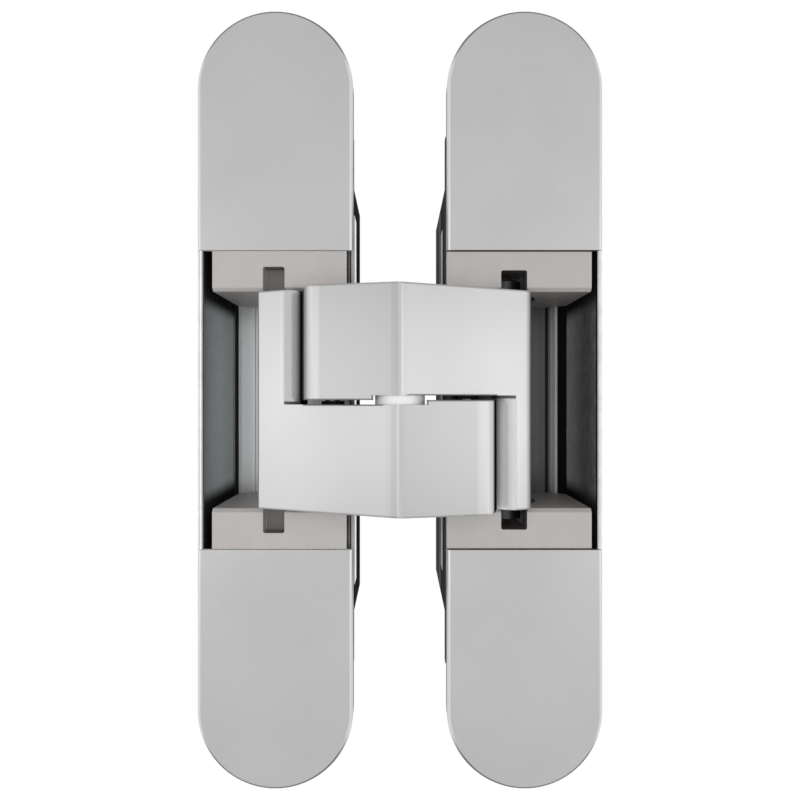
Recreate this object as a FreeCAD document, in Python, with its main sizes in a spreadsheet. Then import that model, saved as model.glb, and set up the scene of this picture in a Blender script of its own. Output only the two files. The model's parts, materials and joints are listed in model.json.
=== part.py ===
import FreeCAD, Part
import Sketcher
import math
import os

# Concealed door hinge, shown open at 180 degrees.
# Millimetres, Z up along the knuckle pin, X across the two leaves, Y into the door edge.
# The origin is the middle of the frame leaf's screw pattern, on the face that seats on the wood.

doc = FreeCAD.newDocument("concealed_hinge")
sheet = doc.addObject("Spreadsheet::Sheet", "Sizes")

sizes = {
    # Leaves: two slender plates with round ends, side by side.
    "leafHeight": 150.0,
    "leafWidth": 30.0,
    "leafGap": 18.1,
    "coverThick": 1.3,
    "coverRound": 0.8,
    "coverSetback": 7.8,
    "coverFit": 0.12,
    "flangeThick": 2.7,
    "flangeInset": 0.05,
    # Housing behind the flange.
    "endLength": 32.8,
    "stepBeyond": 9.8,
    "stepBack": 6.5,
    "boxInset": 0.13,
    "doorBoxProud": 0.1,
    "floorDepth": 29.0,
    "boxRound": 1.2,
    "outerWall": 0.85,
    "innerWall": 0.97,
    "backWall": 1.0,
    "doorBackWall": 16.5,
    "endWall": 1.6,
    "padShort": 4.5,
    "padProud": 0.25,
    "padDeep": 0.6,
    "rebateWall": 0.45,
    "rebateShort": 1.0,
    "ribDeep": 7.8,
    "ribBeyondStep": 7.4,
    "ribProud": 0.08,
    "rimRound": 0.5,
    # Wood screw holes of one leaf, four of them.
    "holeRadius": 2.6,
    "holeSink": 1.7,
    "holeAcross": 12.0,
    "holeFromEnd": 12.0,
    # Lugs that hold the covers.
    "lugWidth": 3.0,
    "lugHeight": 2.4,
    "lugShort": 0.5,
    "lugFromEnd": 4.4,
    "lugFromTongue": 5.4,
    # Bearing blocks above and below the arms.
    "blockHeight": 19.35,
    "blockEndGap": 0.3,
    "blockOuterGap": 1.97,
    "doorOuterGap": 1.26,
    "blockInnerGap": 0.2,
    "lipClear": 0.1,
    "blockFront": 0.1,
    "faceSetback": 0.3,
    "frameFaceGap": 0.03,
    "doorFaceGap": 0.2,
    "blockCorner": 4.5,
    "blockEdge": 0.7,
    "tongueHalf": 8.0,
    "tongueBar": 0.95,
    "tongueThick": 3.0,
    "tongueGap": 0.25,
    "notchHalf": 2.05,
    "notchAside": 0.3,
    "notchHeight": 4.7,
    "notchDepth": 3.6,
    "notchRound": 0.4,
    # Fixed guide plate on the floor of each housing.
    "plateThick": 1.0,
    "plateOuterGap": 1.3,
    "doorPlateGap": 2.2,
    "plateInnerGap": 0.3,
    "plateEndGap": 0.2,
    "plateEdge": 0.5,
    "plateGroove": 0.6,
    "plateGrooveDeep": 0.5,
    "plateGrooveAt": 4.8,
    # Adjusting cams and clamp screws under the covers.
    "camBeyond": 4.2,
    "camRadius": 3.0,
    "camThrow": 0.6,
    "camJournal": 1.8,
    "camSocket": 1.5,
    "camSocketDeep": 1.6,
    "screwAhead": 12.05,
    "screwRadius": 1.5,
    "screwHead": 2.75,
    "screwHeadDeep": 3.2,
    "screwPlay": 0.35,
    "screwSocket": 1.25,
    "screwSocketDeep": 1.8,
    # Linkage in plan: depths from the face of the covers, slide axis from pivot axis.
    "pivotBack": 6.0,
    "slideAcross": 8.6,
    "slideBack": 7.0,
    "knuckleFront": 9.0,
    "closedGap": 5.0,
    # Arms.
    "armGap": 0.35,
    "armThick": 8.0,
    "armBack": 2.85,
    "creaseRound": 2.0,
    "longSlope": 25.3,
    "shortSlope": 14.0,
    "longNose": 5.1,
    "doorNose": 2.65,
    "noseEdge": 0.45,
    "tallCheek": 3.75,
    "tallRound": 3.0,
    "shortNose": 4.3,
    "shortRound": 4.0,
    "faceClear": 0.9,
    "neckChamfer": 1.2,
    "waistBack": 5.2,
    "backNear": 4.9,
    "backFar": 6.5,
    "cornerRound": 1.5,
    "armEdge": 0.4,
    "pivotHub": 2.9,
    "slideHub": 3.4,
    "rimClear": 0.35,
    # Pins, sleeves and washers.
    "knucklePin": 2.0,
    "knuckleWall": 0.8,
    "knuckleFit": 0.05,
    "knuckleShort": 1.0,
    "washerThick": 1.7,
    "washerRadius": 4.5,
    "shoulderClear": 0.5,
    "pivotPin": 1.6,
    "pivotFit": 0.05,
    "pivotPinDeep": 10.05,
    "spacerRadius": 2.3,
    "spacerGap": 0.2,
    "slidePin": 1.3,
    "bushRadius": 2.2,
    "bushGap": 0.2,
    "bushDeep": 2.65,
    "grooveClear": 0.3,
    "grooveOver": 1.4,
    "pinEdge": 0.3,
}

for row, (name, size) in enumerate(sizes.items(), start=1):
    sheet.set("A%d" % row, name)
    sheet.set("B%d" % row, str(size))
    sheet.setAlias("B%d" % row, name)
doc.recompute()


def cell(name):
    return "Sizes." + name


def value(formula):
    result = sheet.evalExpression(formula)
    return float(getattr(result, "Value", result))


# Places that several pieces share, as formulas on the sheet.
# Across: a leaf's own X runs from its middle; the linkage is measured from the middle of the gap.
seat = "(Sizes.coverThick + Sizes.flangeThick)"
leafX = "(Sizes.leafGap / 2 + Sizes.leafWidth / 2)"
halfWidth = "(Sizes.leafWidth / 2)"
boxSide = "(%s - Sizes.boxInset)" % halfWidth
rimSide = "(%s - Sizes.flangeInset)" % halfWidth
cavityOuter = "(-(%s - Sizes.outerWall))" % halfWidth
cavityInner = "(%s - Sizes.innerWall)" % boxSide
blockInner = "(%s - Sizes.blockInnerGap)" % cavityInner
rimAcross = "(Sizes.leafGap / 2 + Sizes.boxInset + Sizes.innerWall)"
neckAcross = "(%s + Sizes.rimClear)" % rimAcross
pivotAcross = "(%s + Sizes.pivotHub)" % neckAcross
slideAcross = "(%s + Sizes.slideAcross)" % pivotAcross
pivotX = "(%s - %s)" % (leafX, pivotAcross)
slideX = "(%s - %s)" % (leafX, slideAcross)
# Deep: Y from the seat of the flange.
flangeFront = "(-Sizes.flangeThick)"
coverFront = "(-%s)" % seat
stepBackY = "(Sizes.stepBack - %s)" % seat
floorY = "(Sizes.floorDepth - %s)" % seat
plateFrontY = "(%s - Sizes.plateThick)" % floorY
blockFrontY = "(%s + Sizes.blockFront)" % flangeFront
faceY = "(%s + Sizes.faceSetback)" % coverFront
tongueBackY = "(%s + Sizes.tongueThick)" % blockFrontY
recessBackY = "(%s + Sizes.tongueGap)" % tongueBackY
pivotY = "(Sizes.pivotBack - %s)" % seat
slideY = "(Sizes.slideBack - %s)" % seat
knuckleY = "(-Sizes.knuckleFront - %s)" % seat
# Up: heights from the middle of the leaf.
leafHalf = "(Sizes.leafHeight / 2)"
endCentre = "(%s - %s)" % (leafHalf, halfWidth)
holeUp = "(%s - Sizes.holeFromEnd)" % leafHalf
boxHalf = "(%s - Sizes.endLength)" % leafHalf
cavityHalf = "(%s - Sizes.endWall)" % boxHalf
plateHalf = "(%s - Sizes.plateEndGap)" % cavityHalf
blockEnd = "(%s - Sizes.blockEndGap)" % cavityHalf
padHalf = "(%s - Sizes.padShort)" % blockEnd
rebateHalf = "(%s - Sizes.rebateShort)" % padHalf
openHalf = "(%s - Sizes.blockHeight)" % blockEnd
armHalf = "(%s - Sizes.armGap)" % openHalf
coverEnd = "(%s + Sizes.coverSetback)" % openHalf
screwUp = "(%s + Sizes.screwAhead)" % openHalf
pivotPinHalf = "(%s + Sizes.pivotPinDeep)" % openHalf
bushTop = "(%s + Sizes.bushDeep)" % openHalf
grooveTop = "(%s + Sizes.grooveOver)" % bushTop
stepHalf = "(%s + Sizes.stepBeyond)" % boxHalf
camUp = "(%s + Sizes.camBeyond)" % boxHalf
slotTop = "(%s + Sizes.camRadius + Sizes.tongueGap)" % camUp
slotFoot = "(%s - Sizes.camRadius - Sizes.camThrow - Sizes.tongueGap)" % camUp
tongueEnd = "(%s + Sizes.tongueBar)" % slotTop
recessEnd = "(%s + Sizes.tongueGap)" % tongueEnd
recessHalf = "(Sizes.tongueHalf + Sizes.tongueGap + Sizes.camThrow)"
lugUps = ["(%s - Sizes.lugFromEnd)" % leafHalf, "(%s + Sizes.lugFromTongue)" % tongueEnd]
lugBackY = "(-Sizes.lugShort)"
# Radii and half widths.
grooveHalf = "(Sizes.bushRadius + Sizes.grooveClear)"
sleeveRadius = "(Sizes.knucklePin + Sizes.knuckleWall)"
halfGap = "(Sizes.washerThick / 2)"


# Small drawing tools: bodies, sketches and the constraints that tie them to the sheet.

def newBody(label):
    body = doc.addObject("PartDesign::Body", label)
    body.Label = label
    return body


def newSketch(body, name, role, offset):
    sketch = body.newObject("Sketcher::SketchObject", name)
    plane = [item for item in body.Origin.OriginFeatures if item.Role == role][0]
    sketch.AttachmentSupport = [(plane, "")]
    sketch.MapMode = "FlatFace"
    sketch.setExpression("AttachmentOffset.Base.z", offset)
    return sketch


def fix(sketch, geometry, position, across, up):
    """Hold one point of a sketch at two formulas, measured from the origin."""
    for kind, formula, axis in (("DistanceX", across, -2), ("DistanceY", up, -1)):
        amount = value(formula)
        if abs(amount) < 1e-9:
            sketch.addConstraint(Sketcher.Constraint("PointOnObject", geometry, position, axis))
            continue
        if amount > 0:
            rule = Sketcher.Constraint(kind, -1, 1, geometry, position, amount)
        else:
            rule = Sketcher.Constraint(kind, geometry, position, -1, 1, -amount)
            formula = "-(%s)" % formula
        index = sketch.addConstraint(rule)
        sketch.setExpression("Constraints[%d]" % index, formula)


def setSize(sketch, kind, geometry, formula):
    index = sketch.addConstraint(Sketcher.Constraint(kind, geometry, value(formula)))
    sketch.setExpression("Constraints[%d]" % index, formula)


def polygon(sketch, points):
    """A closed outline of straight lines through points that are pairs of formulas."""
    corners = [FreeCAD.Vector(value(x), value(y), 0) for x, y in points]
    count = len(corners)
    first = sketch.GeometryCount
    for index in range(count):
        sketch.addGeometry(Part.LineSegment(corners[index], corners[(index + 1) % count]), False)
    for index in range(count):
        after = first + (index + 1) % count
        sketch.addConstraint(Sketcher.Constraint("Coincident", first + index, 2, after, 1))
    for index, (x, y) in enumerate(points):
        fix(sketch, first + index, 1, x, y)


def box(sketch, left, right, low, high):
    polygon(sketch, [(left, low), (right, low), (right, high), (left, high)])


def circle(sketch, x, y, radius):
    centre = FreeCAD.Vector(value(x), value(y), 0)
    index = sketch.addGeometry(Part.Circle(centre, FreeCAD.Vector(0, 0, 1), value(radius)), False)
    fix(sketch, index, 3, x, y)
    setSize(sketch, "Radius", index, radius)


def hexagon(sketch, x, y, radius):
    turns = [60 * step for step in range(6)]
    polygon(sketch, [("%s + %s * cos(%d)" % (x, radius, turn), "%s + %s * sin(%d)" % (y, radius, turn))
                     for turn in turns])


def stadium(sketch, half, centre):
    """Two straight flanks joined by half circles."""
    wide = value(half)
    high = value(centre)
    up = FreeCAD.Vector(0, 0, 1)
    top = Part.ArcOfCircle(Part.Circle(FreeCAD.Vector(0, high, 0), up, wide), 0, math.pi)
    low = Part.ArcOfCircle(Part.Circle(FreeCAD.Vector(0, -high, 0), up, wide), math.pi, 2 * math.pi)
    left = Part.LineSegment(FreeCAD.Vector(-wide, high, 0), FreeCAD.Vector(-wide, -high, 0))
    right = Part.LineSegment(FreeCAD.Vector(wide, -high, 0), FreeCAD.Vector(wide, high, 0))
    sketch.addGeometry([top, left, low, right], False)
    sketch.addConstraint(Sketcher.Constraint("Tangent", 0, 2, 1, 1))
    sketch.addConstraint(Sketcher.Constraint("Tangent", 1, 2, 2, 1))
    sketch.addConstraint(Sketcher.Constraint("Tangent", 2, 2, 3, 1))
    sketch.addConstraint(Sketcher.Constraint("Tangent", 3, 2, 0, 1))
    fix(sketch, 0, 3, "0", centre)
    fix(sketch, 2, 3, "0", "-(%s)" % centre)
    setSize(sketch, "Radius", 0, half)


def halfStadium(sketch, half, centre, foot):
    """One round end of a leaf, cut off square at its foot."""
    wide = value(half)
    high = value(centre)
    low = value(foot)
    arc = Part.ArcOfCircle(Part.Circle(FreeCAD.Vector(0, high, 0), FreeCAD.Vector(0, 0, 1), wide), 0, math.pi)
    left = Part.LineSegment(FreeCAD.Vector(-wide, high, 0), FreeCAD.Vector(-wide, low, 0))
    base = Part.LineSegment(FreeCAD.Vector(-wide, low, 0), FreeCAD.Vector(wide, low, 0))
    right = Part.LineSegment(FreeCAD.Vector(wide, low, 0), FreeCAD.Vector(wide, high, 0))
    sketch.addGeometry([arc, left, base, right], False)
    sketch.addConstraint(Sketcher.Constraint("Tangent", 0, 2, 1, 1))
    sketch.addConstraint(Sketcher.Constraint("Coincident", 1, 2, 2, 1))
    sketch.addConstraint(Sketcher.Constraint("Coincident", 2, 2, 3, 1))
    sketch.addConstraint(Sketcher.Constraint("Tangent", 3, 2, 0, 1))
    fix(sketch, 0, 3, "0", centre)
    fix(sketch, 2, 1, "-(%s)" % half, foot)
    fix(sketch, 2, 2, half, foot)


def volumeOf(body):
    return body.Shape.Volume if body.Shape and not body.Shape.isNull() else 0.0


def addBetween(body, name, role, draw, start, end, cut=False):
    """Pad or pocket a sketch from one formula to another, along +Y for XZ sketches, else along +Z."""
    before = volumeOf(body)
    facing = role == "XZ_Plane"
    sketch = newSketch(body, name + "_sketch", role, "-(%s)" % start if facing else start)
    draw(sketch)
    kind = "PartDesign::Pocket" if cut else "PartDesign::Pad"
    feature = body.newObject(kind, name)
    feature.Profile = sketch
    feature.setExpression("Length", "(%s) - (%s)" % (end, start))
    feature.Reversed = facing if not cut else not facing
    doc.recompute()
    after = volumeOf(body)
    if (cut and after > before - 1e-4) or (not cut and after < before + 1e-4):
        raise RuntimeError("%s of %s changes nothing" % (name, body.Label))
    return feature


def dress(body, kind, name, base, edges, size):
    if not edges:
        raise RuntimeError("%s of %s finds no edge" % (name, body.Label))
    feature = body.newObject(kind, name)
    feature.Base = (base, edges)
    feature.setExpression("Radius" if kind.endswith("Fillet") else "Size", size)
    doc.recompute()
    return feature


def edgesWhere(feature, test):
    return ["Edge%d" % (index + 1) for index, edge in enumerate(feature.Shape.Edges) if test(edge)]


def upright(x, y):
    """Picks straight upright edges at one place in plan."""
    def test(edge):
        ends = [vertex.Point for vertex in edge.Vertexes]
        if len(ends) != 2 or edge.Curve.TypeId != "Part::GeomLine":
            return False
        near = all(abs(end.x - value(x)) < 0.02 and abs(end.y - value(y)) < 0.02 for end in ends)
        return near and abs(ends[0].z - ends[1].z) > 0.5
    return test


def inward(places, z):
    """Picks straight edges that run into the leaf, at one height and at some places across."""
    def test(edge):
        ends = [vertex.Point for vertex in edge.Vertexes]
        if len(ends) != 2 or edge.Curve.TypeId != "Part::GeomLine":
            return False
        near = any(all(abs(end.x - value(x)) < 1e-4 for end in ends) for x in places)
        level = all(abs(end.z - value(z)) < 1e-4 for end in ends)
        return near and level and abs(ends[0].y - ends[1].y) > 0.5
    return test


def inPlaneY(y, keep):
    """Picks edges that lie in one plane across the leaf and pass a further test on their middle."""
    def test(edge):
        flat = all(abs(vertex.Y - value(y)) < 1e-4 for vertex in edge.Vertexes)
        middle = edge.valueAt((edge.FirstParameter + edge.LastParameter) / 2)
        return flat and abs(middle.y - value(y)) < 1e-4 and keep(edge, middle)
    return test


def inPlaneZ(z, keep):
    def test(edge):
        flat = all(abs(vertex.Z - value(z)) < 1e-4 for vertex in edge.Vertexes)
        middle = edge.valueAt((edge.FirstParameter + edge.LastParameter) / 2)
        return flat and abs(middle.z - value(z)) < 1e-4 and keep(edge, middle)
    return test


nodes = []


def place(item, across="0", deep="0", turned=False):
    """Give a finished piece its place; the door side is the frame side turned half round about Y."""
    if turned:
        item.Placement = FreeCAD.Placement(FreeCAD.Vector(), FreeCAD.Rotation(FreeCAD.Vector(0, 1, 0), 180))
    item.setExpression("Placement.Base.x", across)
    item.setExpression("Placement.Base.y", deep)
    nodes.append(item)


def placeOnLeaf(item, door, turned=False):
    place(item, "2 * " + leafX if door else "0", "0", turned)


def lugs(sketch, ups):
    """Outlines of the small blocks on a cover, or of their pockets, in the middle of the leaf."""
    for up in ups:
        box(sketch, "-Sizes.lugWidth / 2", "Sizes.lugWidth / 2",
            up + " - Sizes.lugHeight / 2", up + " + Sizes.lugHeight / 2")


# Housing: cast flange with round ends, a shallow step behind it and a deep box for the arms.

def housing(label, door):
    body = newBody(label)
    flank = "(%s + Sizes.doorBoxProud)" % halfWidth if door else boxSide
    boxBackY = "(%s + Sizes.%s)" % (floorY, "doorBackWall" if door else "backWall")
    addBetween(body, "flange", "XZ_Plane", lambda s: stadium(s, rimSide, endCentre), flangeFront, "0")
    # Between the covers the outer rim of the pocket comes forward, flush with them.
    rim = addBetween(body, "outer_rim", "XZ_Plane",
                     lambda s: box(s, "-" + rimSide, cavityOuter, "-" + coverEnd, coverEnd),
                     coverFront, flangeFront)
    dress(body, "PartDesign::Fillet", "rim_rounding", rim,
          edgesWhere(rim, upright("-" + rimSide, coverFront)), cell("rimRound"))
    addBetween(body, "step", "XZ_Plane", lambda s: box(s, "-" + boxSide, flank, "-" + stepHalf, stepHalf),
               "0", stepBackY)
    deep = addBetween(body, "box", "XZ_Plane",
                      lambda s: box(s, "-" + boxSide, flank, "-" + boxHalf, boxHalf), "0", boxBackY)
    corners = edgesWhere(deep, inPlaneY(boxBackY, lambda edge, middle: True))
    dress(body, "PartDesign::Fillet", "box_rounding", deep, corners, cell("boxRound"))
    # The frame leaf has a pad proud of its inner flank and a rebate inside it; the door leaf's rim is
    # cut down to the seat there for the lips of its blocks, with a rib on the flank of the box.
    root = boxSide + " - 0.5 * Sizes.innerWall"
    if door:
        ribFront = stepBackY + " + Sizes.ribBeyondStep"
        addBetween(body, "side_rib", "XZ_Plane",
                   lambda s: box(s, root, flank + " + Sizes.ribProud", "-" + padHalf, padHalf),
                   ribFront, ribFront + " + Sizes.ribDeep")
    else:
        addBetween(body, "side_pad", "XZ_Plane",
                   lambda s: box(s, root, halfWidth + " + Sizes.padProud", "-" + padHalf, padHalf),
                   flangeFront, stepBackY + " + Sizes.padDeep")
    addBetween(body, "cavity", "XZ_Plane",
               lambda s: box(s, cavityOuter, cavityInner, "-" + cavityHalf, cavityHalf),
               flangeFront, floorY, cut=True)
    rebateEdge = "(%s + 1)" % halfWidth if door else "(%s - Sizes.rebateWall)" % halfWidth
    addBetween(body, "rim_rebate", "XZ_Plane",
               lambda s: box(s, "0", rebateEdge, "-" + rebateHalf, rebateHalf), flangeFront, "0", cut=True)
    addBetween(body, "tongue_recess", "XZ_Plane",
               lambda s: box(s, "-" + recessHalf, recessHalf, "-" + recessEnd, recessEnd),
               flangeFront, recessBackY, cut=True)

    def camBores(sketch):
        for sign in ("", "-"):
            circle(sketch, "0", "%s(%s - Sizes.camThrow)" % (sign, camUp), cell("camJournal"))
    addBetween(body, "cam_bores", "XZ_Plane", camBores, recessBackY, stepBackY, cut=True)
    addBetween(body, "lug_pockets", "XZ_Plane",
               lambda s: lugs(s, [sign + up for sign in ("", "-") for up in lugUps]),
               flangeFront, lugBackY, cut=True)

    def screwHoles(sketch):
        for across in ("Sizes.holeAcross / 2", "-Sizes.holeAcross / 2"):
            for along in (holeUp, "-" + holeUp):
                circle(sketch, across, along, cell("holeRadius"))
    holes = addBetween(body, "screw_holes", "XZ_Plane", screwHoles, flangeFront, "0", cut=True)
    sharp = edgesWhere(holes, inPlaneY(flangeFront, lambda edge, middle:
                       edge.Curve.TypeId == "Part::GeomCircle"
                       and abs(edge.Curve.Radius - value(cell("holeRadius"))) < 1e-4))
    dress(body, "PartDesign::Chamfer", "screw_sinks", holes, sharp, cell("holeSink"))
    placeOnLeaf(body, door, door)


# Cover: a flat cap over the screws, with rounded front edges and two lugs behind.

def cover(label, door, low):
    body = newBody(label)
    foot = "(%s + Sizes.coverFit)" % coverEnd
    plate = addBetween(body, "plate", "XZ_Plane", lambda s: halfStadium(s, halfWidth, endCentre, foot),
                       coverFront, flangeFront)
    rim = edgesWhere(plate, inPlaneY(coverFront, lambda edge, middle: middle.z > value(foot) + 1.0))
    dress(body, "PartDesign::Fillet", "rim_rounding", plate, rim, cell("coverRound"))
    addBetween(body, "lugs", "XZ_Plane", lambda s: lugs(s, lugUps), flangeFront, lugBackY)
    placeOnLeaf(body, door, low)


# Path of an arm's slide pin in its leaf, from open to closed, for arms that turn in a fixed ratio.

def slidePath(steps=8):
    pivot = (-value(pivotAcross), value(cell("pivotBack")))
    knuckle = value(cell("knuckleFront"))
    reach = math.hypot(pivot[0], pivot[1] + knuckle)
    opened = math.atan2(-pivot[0], pivot[1] + knuckle)
    closed = -math.acos((pivot[1] + value(cell("closedGap")) / 2) / reach)
    turn = opened - closed
    ratio = (math.pi - turn) / turn
    across = value(slideAcross)
    deep = value(cell("slideBack")) + knuckle
    length = math.hypot(across, deep)
    lean = math.atan2(across, deep)
    places = []
    for step in range(steps + 1):
        swing = turn * step / steps
        joint = (pivot[0] + reach * math.sin(opened - swing), pivot[1] - reach * math.cos(opened - swing))
        angle = lean - ratio * swing
        x = joint[0] - length * math.sin(angle) + value(leafX)
        y = joint[1] + length * math.cos(angle) - value(seat)
        places.append(FreeCAD.Vector(x, y, 0))
    return places


def grooveFace(z, half):
    """The slot that the bush sweeps: a smooth band round the path with a half circle at each end."""
    middle = Part.BSplineCurve()
    middle.interpolate(slidePath())
    first = middle.FirstParameter
    last = middle.LastParameter
    sides = {1: [], -1: []}
    ways = {}
    count = 10
    for step in range(count + 1):
        at = first + (last - first) * step / count
        point = middle.value(at)
        way = middle.tangent(at)[0]
        normal = FreeCAD.Vector(-way.y, way.x, 0)
        ways[step] = way
        for sign in sides:
            sides[sign].append(point + normal * (sign * half))
    left = Part.BSplineCurve()
    left.interpolate(sides[1])
    right = Part.BSplineCurve()
    right.interpolate(list(reversed(sides[-1])))
    head = middle.value(last) + ways[count] * half
    tail = middle.value(first) - ways[0] * half
    rim = [left.toShape(), Part.Arc(sides[1][-1], head, sides[-1][-1]).toShape(), right.toShape(),
           Part.Arc(sides[-1][0], tail, sides[1][0]).toShape()]
    face = Part.Face(Part.Wire(rim))
    face.translate(FreeCAD.Vector(0, 0, z))
    return face


def grooveTool(name, sign):
    tool = doc.addObject("Part::Feature", name)
    low = value(openHalf) - 1
    depth = value(grooveTop) - low
    face = grooveFace(low, value(grooveHalf))
    solid = face.extrude(FreeCAD.Vector(0, 0, depth))
    if sign < 0:
        solid = solid.mirror(FreeCAD.Vector(), FreeCAD.Vector(0, 0, 1))
    tool.Shape = solid
    return tool


# Bearing block: carries the end of the pivot pin and the groove for the slide bush.

def block(label, door, sign):
    body = newBody(label + "_casting")
    body.Label = label + "_casting"
    way = "" if sign > 0 else "-"
    inner = way + openHalf
    outer = way + blockEnd
    blockOuter = "(%s + Sizes.%s)" % (cavityOuter, "doorOuterGap" if door else "blockOuterGap")
    main = addBetween(body, "main", "XZ_Plane",
                      lambda s: box(s, blockOuter, blockInner, inner, outer), blockFrontY, plateFrontY)
    rear = edgesWhere(main, upright(blockOuter, plateFrontY))
    dress(body, "PartDesign::Chamfer", "rear_corner", main, rear, cell("blockCorner"))
    if door:
        addBetween(body, "lip", "XZ_Plane",
                   lambda s: box(s, "0", rimSide, inner, "%s(%s - Sizes.lipClear)" % (way, rebateHalf)),
                   blockFrontY, "-Sizes.lipClear")
    # Between the covers the block comes forward, nearly flush with them.
    faceEnd = "%s(%s - Sizes.%s)" % (way, coverEnd, "doorFaceGap" if door else "frameFaceGap")
    face = addBetween(body, "face", "XZ_Plane",
                      lambda s: box(s, blockOuter, rimSide if door else blockInner, inner, faceEnd),
                      faceY, blockFrontY)
    front = edgesWhere(face, inPlaneZ(inner, lambda edge, middle: abs(middle.y - value(faceY)) < 1e-4))
    dress(body, "PartDesign::Chamfer", "front_edge", face, front, cell("blockEdge"))
    addBetween(body, "tongue", "XZ_Plane",
               lambda s: box(s, "-Sizes.tongueHalf", "Sizes.tongueHalf", outer, way + tongueEnd),
               blockFrontY, tongueBackY)
    slotHalf = "(Sizes.camRadius + Sizes.tongueGap)"
    addBetween(body, "cam_slot", "XZ_Plane",
               lambda s: box(s, "-" + slotHalf, slotHalf, way + slotFoot, way + slotTop),
               blockFrontY, tongueBackY, cut=True)
    # The door block is open to the front at its slide groove, the frame block has a shallow notch there.
    if door:
        mouthSides = ["%s - %s" % (slideX, grooveHalf), "%s + %s" % (slideX, grooveHalf)]
        mouthTop = way + grooveTop
        mouthBack = slideY
    else:
        mouthSides = ["-Sizes.notchAside - Sizes.notchHalf", "Sizes.notchHalf - Sizes.notchAside"]
        mouthTop = "%s(%s + Sizes.notchHeight)" % (way, openHalf)
        mouthBack = faceY + " + Sizes.notchDepth"
    mouth = addBetween(body, "mouth", "XZ_Plane", lambda s: box(s, *mouthSides, inner, mouthTop),
                       faceY, mouthBack, cut=True)
    dress(body, "PartDesign::Fillet", "mouth_rounding", mouth,
          edgesWhere(mouth, inward(mouthSides, mouthTop)), cell("notchRound"))
    addBetween(body, "screw_bore", "XZ_Plane",
               lambda s: circle(s, "0", way + screwUp, "(Sizes.screwRadius + Sizes.screwPlay)"),
               blockFrontY, plateFrontY, cut=True)
    addBetween(body, "screw_sink", "XZ_Plane",
               lambda s: circle(s, "0", way + screwUp, "(Sizes.screwHead + Sizes.screwPlay)"),
               blockFrontY, blockFrontY + " + Sizes.screwHeadDeep", cut=True)
    low, high = (inner, pivotPinHalf) if sign > 0 else ("-" + pivotPinHalf, inner)
    addBetween(body, "pin_bore", "XY_Plane", lambda s: circle(s, pivotX, pivotY, cell("pivotPin")),
               low, high, cut=True)
    tool = grooveTool(label + "_groove", sign)
    finished = doc.addObject("Part::Cut", label)
    finished.Label = label
    finished.Base = body
    finished.Tool = tool
    placeOnLeaf(finished, door, door)


# Guide plate: a thin steel plate on the housing floor, with a drawn groove along its outer edge.

def guidePlate(label, door):
    body = newBody(label)
    left = "(%s + Sizes.%s)" % (cavityOuter, "doorPlateGap" if door else "plateOuterGap")
    right = "(%s - Sizes.plateInnerGap)" % cavityInner
    plate = addBetween(body, "plate", "XZ_Plane", lambda s: box(s, left, right, "-" + plateHalf, plateHalf),
                       plateFrontY, floorY)
    rim = edgesWhere(plate, inPlaneY(plateFrontY, lambda edge, middle:
                     abs(middle.x - value(left)) < 1e-4 or abs(middle.x - value(right)) < 1e-4))
    dress(body, "PartDesign::Chamfer", "plate_edge", plate, rim, cell("plateEdge"))
    at = "%s + Sizes.plateGrooveAt" % cavityOuter
    addBetween(body, "groove", "XZ_Plane",
               lambda s: box(s, at + " - Sizes.plateGroove / 2", at + " + Sizes.plateGroove / 2",
                             "-" + plateHalf, plateHalf),
               plateFrontY, plateFrontY + " + Sizes.plateGrooveDeep", cut=True)
    addBetween(body, "threads", "XZ_Plane",
               lambda s: [circle(s, "0", sign + screwUp, cell("screwRadius")) for sign in ("", "-")],
               plateFrontY, floorY, cut=True)
    placeOnLeaf(body, door, door)


def clampScrews(label, door):
    """Two socket screws, each clamping a block against the guide plate."""
    body = newBody(label)
    spots = [sign + screwUp for sign in ("", "-")]
    top = blockFrontY + " + Sizes.screwPlay"
    head = blockFrontY + " + Sizes.screwHeadDeep"
    addBetween(body, "heads", "XZ_Plane", lambda s: [circle(s, "0", z, cell("screwHead")) for z in spots],
               top, head)
    addBetween(body, "shanks", "XZ_Plane",
               lambda s: [circle(s, "0", z, cell("screwRadius")) for z in spots], head, floorY)
    addBetween(body, "sockets", "XZ_Plane",
               lambda s: [hexagon(s, "0", z, cell("screwSocket")) for z in spots],
               top, top + " + Sizes.screwSocketDeep", cut=True)
    placeOnLeaf(body, door, door)


def adjustCams(label, door):
    """Two eccentric cams: each turns in the step of the housing and shifts its block sideways."""
    body = newBody(label)
    top = blockFrontY + " + Sizes.tongueGap"
    addBetween(body, "discs", "XZ_Plane",
               lambda s: [circle(s, "0", sign + camUp, cell("camRadius")) for sign in ("", "-")],
               top, recessBackY)
    spots = ["%s(%s - Sizes.camThrow)" % (sign, camUp) for sign in ("", "-")]
    addBetween(body, "journals", "XZ_Plane",
               lambda s: [circle(s, "0", z, cell("camJournal")) for z in spots], recessBackY, stepBackY)
    addBetween(body, "sockets", "XZ_Plane",
               lambda s: [hexagon(s, "0", z, cell("camSocket")) for z in spots],
               top, top + " + Sizes.camSocketDeep", cut=True)
    placeOnLeaf(body, door, door)


# Round pieces on upright axes: pins with broken edges, and plain rings.

def pin(label, x, y, low, high, radius):
    body = newBody(label)
    shaft = addBetween(body, "shaft", "XY_Plane", lambda s: circle(s, x, y, radius), low, high)
    ends = edgesWhere(shaft, lambda edge: edge.Curve.TypeId == "Part::GeomCircle")
    dress(body, "PartDesign::Chamfer", "broken_edges", shaft, ends, cell("pinEdge"))
    return body


def ring(label, x, y, low, high, outer, inner):
    body = newBody(label)

    def draw(sketch):
        circle(sketch, x, y, outer)
        circle(sketch, x, y, inner)
    addBetween(body, "ring", "XY_Plane", draw, low, high)
    return body


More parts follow.
